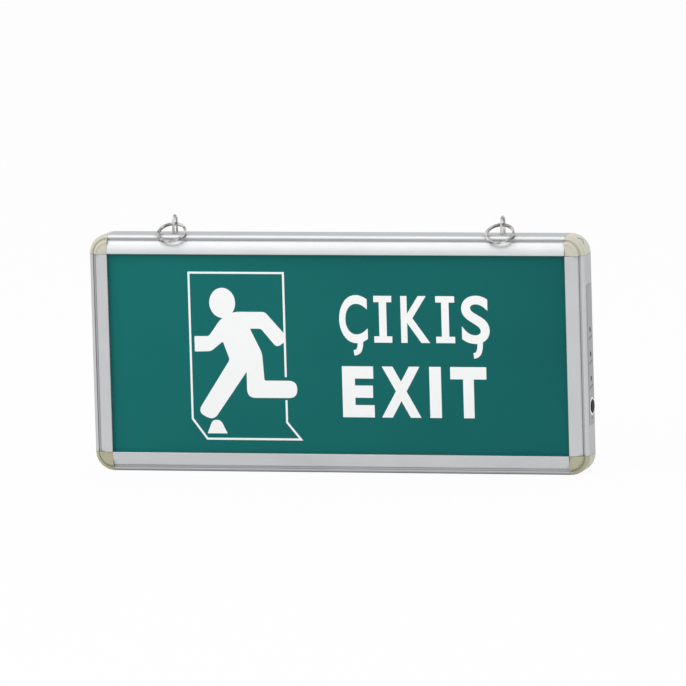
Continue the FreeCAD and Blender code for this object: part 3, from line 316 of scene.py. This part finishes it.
OUTSIDE = [
    # painted reflections: on the nickel, high-contrast patches of dark and light stand in for what
    # the wire reflects
    (["hanger_eye_left", "hanger_eye_right", "split_ring_left", "split_ring_right"],
     mottled("nickel_wire", (0.14, 0.14, 0.13), (0.84, 0.83, 0.80),
             rough=0.14, grain=240, depth=FINE, contrast=2.2, Metallic=1.0)),
    (["button_bezel"],
     mottled("bezel_metal", (0.70, 0.70, 0.71), (0.86, 0.86, 0.87),
             rough=0.22, grain=1200, depth=FINE, Metallic=1.0)),
    (["test_button"],
     mottled("button_plastic", (0.006, 0.006, 0.007), (0.016, 0.016, 0.018),
             rough=0.5, grain=900, depth=FINE, Specular_IOR_Level=0.08)),
    (["indicator_label"],
     mottled("label_film", (0.31, 0.32, 0.33), (0.38, 0.39, 0.40),
             rough=0.42, grain=1500, depth=FINE, Metallic=0.4)),
    (["indicator_led_mains", "indicator_led_charge", "indicator_led_fault"],
     mottled("lamp_lens", (0.012, 0.012, 0.014), (0.03, 0.03, 0.034),
             rough=0.2, grain=700, depth=FINE, Specular_IOR_Level=0.2)),
    (["back_plate"],
     mottled("coated_steel", (0.60, 0.61, 0.60), (0.70, 0.71, 0.70),
             rough=0.55, grain=2200, depth=COARSE)),
    (["cable_grommet"],
     mottled("black_rubber", (0.012, 0.012, 0.012), (0.03, 0.03, 0.03),
             rough=0.72, grain=1400, depth=COARSE)),
]
print(len(OUTSIDE), "plain finishes outside")

# %% Plain finishes inside the housing
INSIDE = [
    (["diffuser_sheet", "reflector_sheet"],
     mottled("white_film", (0.84, 0.84, 0.82), (0.92, 0.92, 0.90),
             rough=0.6, grain=500, depth=FINE)),
    (["light_guide"],
     mottled("guide_acrylic", (0.80, 0.88, 0.86), (0.90, 0.95, 0.94),
             rough=0.12, grain=300, depth=FINE)),
    (["led_strip", "driver_board", "indicator_board"],
     mottled("circuit_board", (0.012, 0.12, 0.045), (0.03, 0.2, 0.08),
             rough=0.38, grain=1800, depth=FINE)),
    (["led_chips"],
     mottled("led_phosphor", (0.78, 0.62, 0.10), (0.92, 0.78, 0.22),
             rough=0.4, grain=1500, depth=FINE)),
    (["insulation_sheet"],
     mottled("insulation_film", (0.70, 0.70, 0.62), (0.80, 0.80, 0.73),
             rough=0.5, grain=800, depth=FINE)),
    (["board_standoffs", "board_screws", "battery_clip_left", "battery_clip_right"],
     mottled("zinc_steel", (0.52, 0.53, 0.55), (0.72, 0.73, 0.74),
             rough=0.3, grain=1600, depth=FINE, Metallic=1.0)),
    (["transformer"],
     mottled("dark_ferrite", (0.03, 0.03, 0.032), (0.07, 0.07, 0.075),
             rough=0.55, grain=2400, depth=COARSE)),
    (["electrolytic_capacitor"],
     mottled("can_sleeve", (0.015, 0.02, 0.05), (0.03, 0.04, 0.09),
             rough=0.3, grain=900, depth=FINE)),
    (["film_capacitor"],
     mottled("capacitor_plastic", (0.50, 0.20, 0.02), (0.62, 0.28, 0.04),
             rough=0.35, grain=900, depth=FINE)),
    (["fuse"],
     mottled("fuse_glass", (0.62, 0.66, 0.66), (0.78, 0.82, 0.82),
             rough=0.12, grain=700, depth=FINE)),
    (["terminal_block"],
     mottled("terminal_plastic", (0.02, 0.22, 0.07), (0.04, 0.30, 0.11),
             rough=0.4, grain=1300, depth=FINE)),
    (["battery_connector", "indicator_connector", "led_connector"],
     mottled("connector_plastic", (0.74, 0.72, 0.62), (0.84, 0.82, 0.73),
             rough=0.45, grain=1300, depth=FINE)),
    (["battery_pack"],
     mottled("battery_sleeve", (0.02, 0.12, 0.32), (0.05, 0.19, 0.44),
             rough=0.3, grain=500, depth=FINE)),
    (["battery_lead", "indicator_lead", "led_lead"],
     mottled("lead_insulation", (0.30, 0.02, 0.018), (0.42, 0.04, 0.03),
             rough=0.5, grain=1200, depth=FINE)),
    (["test_switch"],
     mottled("switch_plastic", (0.02, 0.02, 0.02), (0.045, 0.045, 0.045),
             rough=0.5, grain=1500, depth=FINE)),
]
for names, material in OUTSIDE + INSIDE:
    for name in names:
        finishes[name] = material
for name, item in nodes.items():
    item.data.materials.clear()
    item.data.materials.append(finishes[name])
print(f"{len(set(finishes.values()))} finishes on {len(finishes)} pieces")

# %% [markdown]
# ## The legend
# The legend is a thin film of white ink.  It could be a pattern in the panel's finish, but then no
# shape would have an edge of its own.  Filled flat curves suit it: a few corner points each, and a
# hair of thickness so that the ink has edges.  Places are given in millimetres on the panel, from
# its middle, and each piece is turned upright onto the panel's face as a mesh.

# %% Laying ink on the panel
panel_low, panel_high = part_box("front_panel")
panel_middle = (panel_low + panel_high) / 2
INK = 0.04 * MM
SEAM = 0.001 * MM
UPRIGHT = Matrix.Rotation(math.radians(90), 4, "X")


def built(form, name):
    """New mesh from a bmesh, which is then freed."""
    mesh = bpy.data.meshes.new(name)
    form.to_mesh(mesh)
    form.free()
    return mesh


def as_mesh(item):
    """Mesh of a curve, a text or a mesh object, which is then removed."""
    bpy.context.scene.collection.objects.link(item)
    bpy.context.view_layer.update()
    evaluated = item.evaluated_get(bpy.context.evaluated_depsgraph_get())
    drawn = bpy.data.meshes.new_from_object(evaluated)
    bpy.data.objects.remove(item)
    return drawn


def rides_housing(drawn, name, material):
    """Show a mesh as a piece of the housing, with its finish."""
    piece = bpy.data.objects.new(name, drawn)
    bpy.context.scene.collection.objects.link(piece)
    drawn.materials.clear()
    drawn.materials.append(material)
    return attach(piece, "housing")


def lay_on_panel(item):
    """Turn a flat item, drawn in millimetres, into ink on the panel's face, with closed seams."""
    name = item.name
    drawn = as_mesh(item)
    place = Matrix.Translation((panel_middle.x, panel_low.y - INK / 2, panel_middle.z))
    form = bmesh.new()
    form.from_mesh(drawn)
    bmesh.ops.transform(form, matrix=place @ UPRIGHT @ Matrix.Scale(MM, 4), verts=form.verts)
    bmesh.ops.remove_doubles(form, verts=form.verts, dist=SEAM)
    bmesh.ops.recalc_face_normals(form, faces=form.faces)
    for face in form.faces:
        face.smooth = False
    form.to_mesh(drawn)
    form.free()
    return rides_housing(drawn, name, white_ink)


print("panel face at y", round(panel_low.y / MM, 2), "mm, ink", INK / MM, "mm thick")

# %% Flat filled shapes
BEND_STEPS = 6


def filled(name, outline, thick=INK):
    """Flat filled curve from a closed outline of (across, up) points, in millimetres."""
    curve = bpy.data.curves.new(name, "CURVE")
    curve.dimensions = "2D"
    curve.fill_mode = "BOTH"
    curve.extrude = thick / MM / 2
    spline = curve.splines.new("POLY")
    spline.points.add(len(outline) - 1)
    for point, (across, up) in zip(spline.points, outline):
        point.co = (across, up, 0, 1)
    spline.use_cyclic_u = True
    return bpy.data.objects.new(name, curve)


def rounded(corners, bends):
    """Closed outline whose corners are cut back, each by its own bend, to smooth curves."""
    count = len(corners)
    line = []
    for index, corner in enumerate(corners):
        here = Vector(corner)
        before = Vector(corners[index - 1]) - here
        after = Vector(corners[(index + 1) % count]) - here
        cut = min(bends[index], before.length / 2, after.length / 2)
        start = here + before.normalized() * cut
        end = here + after.normalized() * cut
        for step in range(BEND_STEPS + 1):
            t = step / BEND_STEPS
            line.append(tuple(start * (1 - t) ** 2 + here * 2 * t * (1 - t) + end * t**2))
    return line


def bar(left, right, low, high):
    """Outline of an upright rectangle."""
    return [(left, low), (right, low), (right, high), (left, high)]


print("a rounded square has", len(rounded(bar(0, 1, 0, 1), [0.2] * 4)), "points")

# %% [markdown]
# ## The running figure
# The figure is the common exit pictogram: a round head over a body with bent limbs of even width.
# Limbs could be strips of their own, but those would overlap in one plane.  One closed outline
# with a bend at each corner keeps the limbs joined to the body.  The head is laid on a little
# thicker, so that where it meets the shoulders no two faces lie in one plane.

# %% The head
HEAD_MIDDLE = (-74.2, 32.0)
HEAD_HALF_WIDTH = 8.4
HEAD_HALF_HEIGHT = 9.5
HEAD_THICK = 2 * INK / MM
HEAD_SIDES = 64
form = bmesh.new()
bmesh.ops.create_circle(form, cap_ends=True, segments=HEAD_SIDES, radius=1)
bmesh.ops.scale(form, vec=(HEAD_HALF_WIDTH, HEAD_HALF_HEIGHT, 1), verts=form.verts)
bmesh.ops.translate(form, vec=(*HEAD_MIDDLE, -HEAD_THICK / 2), verts=form.verts)
raised = bmesh.ops.extrude_face_region(form, geom=form.faces[:])
upper = [part for part in raised["geom"] if isinstance(part, bmesh.types.BMVert)]
bmesh.ops.translate(form, vec=(0, 0, HEAD_THICK), verts=upper)
open_edges = [edge for edge in form.edges if not edge.is_manifold]
lay_on_panel(bpy.data.objects.new("figure_head", built(form, "figure_head")))
print("head has", len(open_edges), "open edges")

# %% The body
# each corner of the body, with how far its bend cuts it back, in millimetres
FIGURE = [
    ((-67.3, 26.4), 4), ((-46.7, 26.4), 2), ((-34.2, 12.4), 0), ((-34.2, 7.6), 0),
    ((-39.5, 3.9), 3), ((-49.5, 15.8), 1.5), ((-56.7, 15.8), 1), ((-49.2, 0.5), 3),
    ((-48.1, -17.0), 1), ((-27.0, -17.0), 5.4), ((-27.0, -27.9), 5.4), ((-59.6, -28.0), 5.5),
    ((-59.6, -11.5), 0.5), ((-81.9, -42.6), 5), ((-92.2, -37.3), 5), ((-70.3, -3.9), 1.5),
    ((-74.5, 7.6), 1), ((-82.3, 1.4), 2), ((-92.9, 1.1), 0.8), ((-92.9, 10.9), 0.8),
    ((-83.5, 10.9), 1.5), ((-75.1, 22.4), 4),
]
corners, bends = zip(*FIGURE)
figure = lay_on_panel(filled("figure_body", rounded(corners, bends)))
STEP_UNDER = [(-86.1, -50.7), (-73.1, -50.7), (-77.3, -42.1), (-82.6, -42.1)]
STEP_BENDS = [0.3, 0.3, 2.6, 2.6]
lay_on_panel(filled("figure_step", rounded(STEP_UNDER, STEP_BENDS)))
print("figure body has", len(figure.data.polygons), "faces")

# %% [markdown]
# ## The doorway
# The doorway behind the figure is an even line with mitred corners, broken where a foot crosses
# it.  Straight bars would overlap at each corner, so one band goes all the way round.  It is laid
# on a little thicker than the figure, whose hand reaches it.

# %% The doorway
LINE = 1.3


def band(points, wide=LINE):
    """Closed outline of an even line along open points, mitred at its corners."""
    points = [Vector(point) for point in points]
    sides = []
    for before, after in zip(points, points[1:]):
        along = (after - before).normalized()
        sides.append(Vector((-along.y, along.x)))
    left, right = [], []
    for index, point in enumerate(points):
        one = sides[max(index - 1, 0)]
        two = sides[min(index, len(sides) - 1)]
        mitre = (one + two).normalized()
        reach = mitre * (wide / 2 / mitre.dot(one))
        left.append(tuple(point + reach))
        right.append(tuple(point - reach))
    return left + right[::-1]


DOORWAY_THICK = 1.5 * INK
DOORWAY = [
    (-34.2, -29.3), (-34.2, -43.3), (-25.4, -54.1), (-86.2, -54.1), (-95.6, -41.4),
    (-95.6, 51.0), (-34.2, 51.0), (-34.2, -14.7),
]
doorway = lay_on_panel(filled("doorway", band(DOORWAY), DOORWAY_THICK))
print("doorway goes round in", len(DOORWAY) - 1, "runs,", len(doorway.data.polygons), "faces")

# %% [markdown]
# ## The words
# The words say the same thing in two languages.  A word could be set in one go, but its spacing
# would then be the typeface's.  Each letter is set on its own and fitted to its own box, which is
# how a sign writer spaces large capitals.  Narrow letters are plain outlines, and the hook under
# two of the letters is a short bent band, laid on thicker where it meets its letter.

# %% The words
TEXT_SIZE = 40
TEXT_STEPS = 10


def letter(name, character, left, right, low, high, weight):
    """One character of the built-in typeface, fitted to a box on the panel."""
    text = bpy.data.curves.new(name, "FONT")
    text.body = character
    text.size = TEXT_SIZE
    text.offset = weight
    text.resolution_u = TEXT_STEPS
    text.extrude = INK / MM / 2
    drawn = as_mesh(bpy.data.objects.new(name, text))
    xs = [v.co.x for v in drawn.vertices]
    ys = [v.co.y for v in drawn.vertices]
    widen = (right - left) / (max(xs) - min(xs))
    heighten = (high - low) / (max(ys) - min(ys))
    fit = Matrix.Diagonal((widen, heighten, 1, 1))
    shift = Matrix.Translation((left - min(xs) * widen, low - min(ys) * heighten, 0))
    drawn.transform(shift @ fit)
    return lay_on_panel(bpy.data.objects.new(name, drawn))


UPPER_TOP = 37.0
UPPER_FOOT = 7.5
UPPER_WEIGHT = 0.9
OVERSHOOT = 0.4
# name, character, left, right, and how far a round letter passes the top and the foot
UPPER_LETTERS = [
    ("upper_c", "C", 1.4, 19.7, OVERSHOOT),
    ("upper_k", "K", 41.2, 59.8, 0),
    ("upper_s", "S", 80.2, 98.2, OVERSHOOT),
]
for name, character, left, right, past in UPPER_LETTERS:
    letter(name, character, left, right, UPPER_FOOT - past, UPPER_TOP + past, UPPER_WEIGHT)
print(len(UPPER_LETTERS), "letters of the upper word")

# %% Hooks and narrow letters
HOOK_WIDE = 3.5
HOOK_POINTS = 20
# a curve's two ends with its two handles between them: aside and up from the letter's foot, and
# the share of the hook's drop that the point takes
HOOK_PATH = [(0, 1.5, 0), (0, -5.2, 1), (-1.6, -6.2, 1), (-4.3, -6.5, 1)]
HOOK_THICK = 2 * INK
# name, place across the panel, and how much lower than the path the hook goes
HOOKS = [("hook_c", 14.8, 0.0), ("hook_s", 91.9, 1.4)]
for name, across, drop in HOOKS:
    path = []
    for aside, up, share in HOOK_PATH:
        path.append(Vector((across + aside, UPPER_FOOT + up - drop * share)))
    hook = interpolate_bezier(*path, HOOK_POINTS)
    lay_on_panel(filled(name, band(hook, HOOK_WIDE), HOOK_THICK))
SERIF = 4.0
HALF_STEM = 2.4
# name, left and right
NARROW_LETTERS = [("upper_i_first", 23.8, 35.4), ("upper_i_second", 63.7, 75.9)]
for name, left, right in NARROW_LETTERS:
    stem_left = (left + right) / 2 - HALF_STEM
    stem_right = (left + right) / 2 + HALF_STEM
    low = UPPER_FOOT + SERIF
    high = UPPER_TOP - SERIF
    shape = [
        (left, UPPER_FOOT), (right, UPPER_FOOT), (right, low), (stem_right, low),
        (stem_right, high), (right, high), (right, UPPER_TOP), (left, UPPER_TOP),
        (left, high), (stem_left, high), (stem_left, low), (left, low),
    ]
    lay_on_panel(filled(name, shape))
print(len(HOOKS), "hooks and", len(NARROW_LETTERS), "narrow letters")

# %% The lower word
LOWER_TOP = -7.5
LOWER_FOOT = -39.7
LOWER_WEIGHT = 2.0
# name, character, left and right; a narrow letter has no character, as it is a plain bar
LOWER_LETTERS = [
    ("lower_e", "E", 2.3, 22.8),
    ("lower_x", "X", 27.5, 52.9),
    ("lower_i", None, 58.6, 66.1),
    ("lower_t", "T", 72.1, 95.3),
]
for name, character, left, right in LOWER_LETTERS:
    if character:
        letter(name, character, left, right, LOWER_FOOT, LOWER_TOP, LOWER_WEIGHT)
    else:
        lay_on_panel(filled(name, bar(left, right, LOWER_FOOT, LOWER_TOP)))
print(len(LOWER_LETTERS), "letters of the lower word")

# %% [markdown]
# ## Ticks under the lamps
# A short grey stroke of ink stands under each lamp and the button, where such signs carry their
# key.  A curve would do, but a beveled bar is as short: the four edges through its thickness are
# rounded, so that the stroke has the soft ends of a pen line.

# %% Side ticks
label_low, label_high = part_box("indicator_label")
TICK_LONG = 8.5 * MM
TICK_WIDE = 0.9 * MM
TICK_ROUND = 0.45 * TICK_WIDE
TICK_BEND_STEPS = 4
TICK_LEAN = 12
LAMP_DROP = 3.2 * MM
BUTTON_DROP = 1.6 * MM
grey_ink = mottled("grey_ink", (0.07, 0.07, 0.072), (0.13, 0.13, 0.132),
                   rough=0.5, grain=1500, depth=FINE)


def side_tick(name, z, long, lean):
    """Rounded stroke on the side strip's face, leaning by some degrees."""
    form = bmesh.new()
    bmesh.ops.create_cube(form, size=1)
    bmesh.ops.scale(form, vec=(INK, long, TICK_WIDE), verts=form.verts)
    through = [edge for edge in form.edges if edge.verts[0].co.x != edge.verts[1].co.x]
    bmesh.ops.bevel(
        form, geom=through, offset=TICK_ROUND, segments=TICK_BEND_STEPS,
        profile=0.5, affect="EDGES", material=-1,
    )
    turn = Matrix.Rotation(math.radians(lean), 3, "X")
    bmesh.ops.rotate(form, cent=(0, 0, 0), matrix=turn, verts=form.verts)
    bmesh.ops.translate(form, vec=(label_high.x + INK / 2, 0, z), verts=form.verts)
    return rides_housing(built(form, name), name, grey_ink)


for lamp in ("mains", "charge", "fault"):
    lamp_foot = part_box(f"indicator_led_{lamp}")[0].z
    side_tick(f"tick_{lamp}", lamp_foot - LAMP_DROP, TICK_LONG, TICK_LEAN)
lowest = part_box("button_bezel")[0].z - BUTTON_DROP
side_tick("tick_button", lowest, TICK_LONG / 2, 0)
strip = round((label_high.y - label_low.y) / MM, 1)
print("four ticks on a strip", strip, "mm wide, down to z", round(lowest / MM, 1), "mm")

# %% [markdown]
# ## A floor that is white and still shows a shadow
# A bright floor is cheap with more light, but that would wash out the sign.  Instead, rays from the
# camera, from reflections and through clear things see a floor that is mostly plain white, mixed
# with real shading so that the sign's shadow stays.  All other rays see the shading alone.

# %% Floor
FLOOR_WHITE = 0.94
FLOOR_COLOUR = (0.92, 0.92, 0.92, 1)
FLOOR_HALF = 6


def sees_white(graph):
    """Wire that is 1 for camera, glossy and transmission rays, and 0 for the rest."""
    camera_ray = graph.add("ShaderNodeLightPath", output="Is Camera Ray")
    glossy_ray = graph.add("ShaderNodeLightPath", output="Is Glossy Ray")
    through_ray = graph.add("ShaderNodeLightPath", output="Is Transmission Ray")
    some = {0: camera_ray + glossy_ray, 1: through_ray}
    return graph.add("ShaderNodeMath", {"operation": "ADD", "use_clamp": True}, some)


def studio_floor():
    """Floor that rays from the camera see as nearly white, with the sign's shadow on it."""
    material = bpy.data.materials.new("studio_floor")
    material.use_nodes = True
    graph = Graph(material.node_tree)
    graph.tree.nodes.remove(graph.tree.nodes["Principled BSDF"])
    shaded = graph.add("ShaderNodeBsdfDiffuse", {}, {"Color": FLOOR_COLOUR})
    white = graph.add("ShaderNodeEmission")
    pale = graph.add("ShaderNodeMixShader", {}, {"Fac": FLOOR_WHITE, 1: shaded, 2: white})
    seen = graph.add("ShaderNodeMixShader", {}, {"Fac": sees_white(graph), 1: shaded, 2: pale})
    graph.feed(graph.tree.nodes["Material Output"], {"Surface": seen})
    return material


form = bmesh.new()
bmesh.ops.create_grid(form, x_segments=1, y_segments=1, size=FLOOR_HALF)
floor_mesh = built(form, "floor")
floor = bpy.data.objects.new("floor", floor_mesh)
bpy.context.scene.collection.objects.link(floor)
floor.location.z = cad_low.z
floor_mesh.materials.append(studio_floor())
print("floor", 2 * FLOOR_HALF, "m wide at z", round(cad_low.z, 4))

# %% [markdown]
# ## Soft light
# A pale world lights the sign from all sides, and two large area lamps give it direction: a key
# from above on the left, and a weak fill from the right for the side strip.  Small lamps would make
# hard glints; large ones make the broad, even highlights that satin aluminium shows.

# %% World and lamps
WORLD_FILL = 0.70
WORLD_COLOUR = (1, 1, 1, 1)
world = bpy.data.worlds.new("studio")
bpy.context.scene.world = world
world.use_nodes = True
sky = Graph(world.node_tree)
strength = sees_white(sky) * (1 - WORLD_FILL) + WORLD_FILL
sky.feed(sky.tree.nodes["Background"], {"Color": WORLD_COLOUR, "Strength": strength})


def soft_box(name, place, size, power):
    """Square area lamp, its size in metres and its power in watts, aimed at the sign's middle."""
    lamp = bpy.data.lights.new(name, "AREA")
    lamp.size = size
    lamp.energy = power
    item = bpy.data.objects.new(name, lamp)
    bpy.context.scene.collection.objects.link(item)
    item.location = place
    aim = Vector((0, 0, cad_high.z / 2)) - Vector(place)
    item.rotation_euler = aim.to_track_quat("-Z", "Y").to_euler()
    print(name, power, "W,", round(aim.length, 2), "m away")


soft_box("key", place=(-1.2, -2.0, 2.6), size=3.4, power=43)
soft_box("fill", place=(1.6, -1.3, 0.9), size=1.6, power=2)

# %% [markdown]
# ## The camera
# A near camera with a short lens would spread the sign's edges apart, and a long lens from far off
# keeps them nearly parallel.  It stands a little to the right and a little above, and a slight
# roll shares the slant between level and upright edges.

# %% Camera
DISTANCE = 6.0
VIEW_WIDTH = 0.4296
SENSOR = 36
YAW = math.radians(15.0)
ELEVATION = math.radians(7.5)
ROLL = math.radians(-1.6)
AIM_UP = 5.8 * MM
AIM_RIGHT = 0.8 * MM
lens = bpy.data.cameras.new("camera")
lens.sensor_width = SENSOR
lens.lens = SENSOR * DISTANCE / VIEW_WIDTH
camera = bpy.data.objects.new("camera", lens)
bpy.context.scene.collection.objects.link(camera)
flat = math.cos(ELEVATION)
backwards = Vector((math.sin(YAW) * flat, -math.cos(YAW) * flat, math.sin(ELEVATION)))
turn = (-backwards).to_track_quat("-Z", "Y").to_matrix() @ Matrix.Rotation(ROLL, 3, "Z")
frame_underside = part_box("frame_bottom")[0].z
frame_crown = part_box("frame_top")[1].z
sign_middle = Vector((0, 0, (frame_underside + frame_crown) / 2))
target = sign_middle + turn @ Vector((AIM_RIGHT, AIM_UP, 0))
camera.matrix_world = Matrix.Translation(target + backwards * DISTANCE) @ turn.to_4x4()
bpy.context.scene.camera = camera
bpy.context.scene.view_settings.view_transform = "Standard"
print("lens", round(lens.lens, 1), "mm at", DISTANCE, "m, aimed above z", round(sign_middle.z, 4))
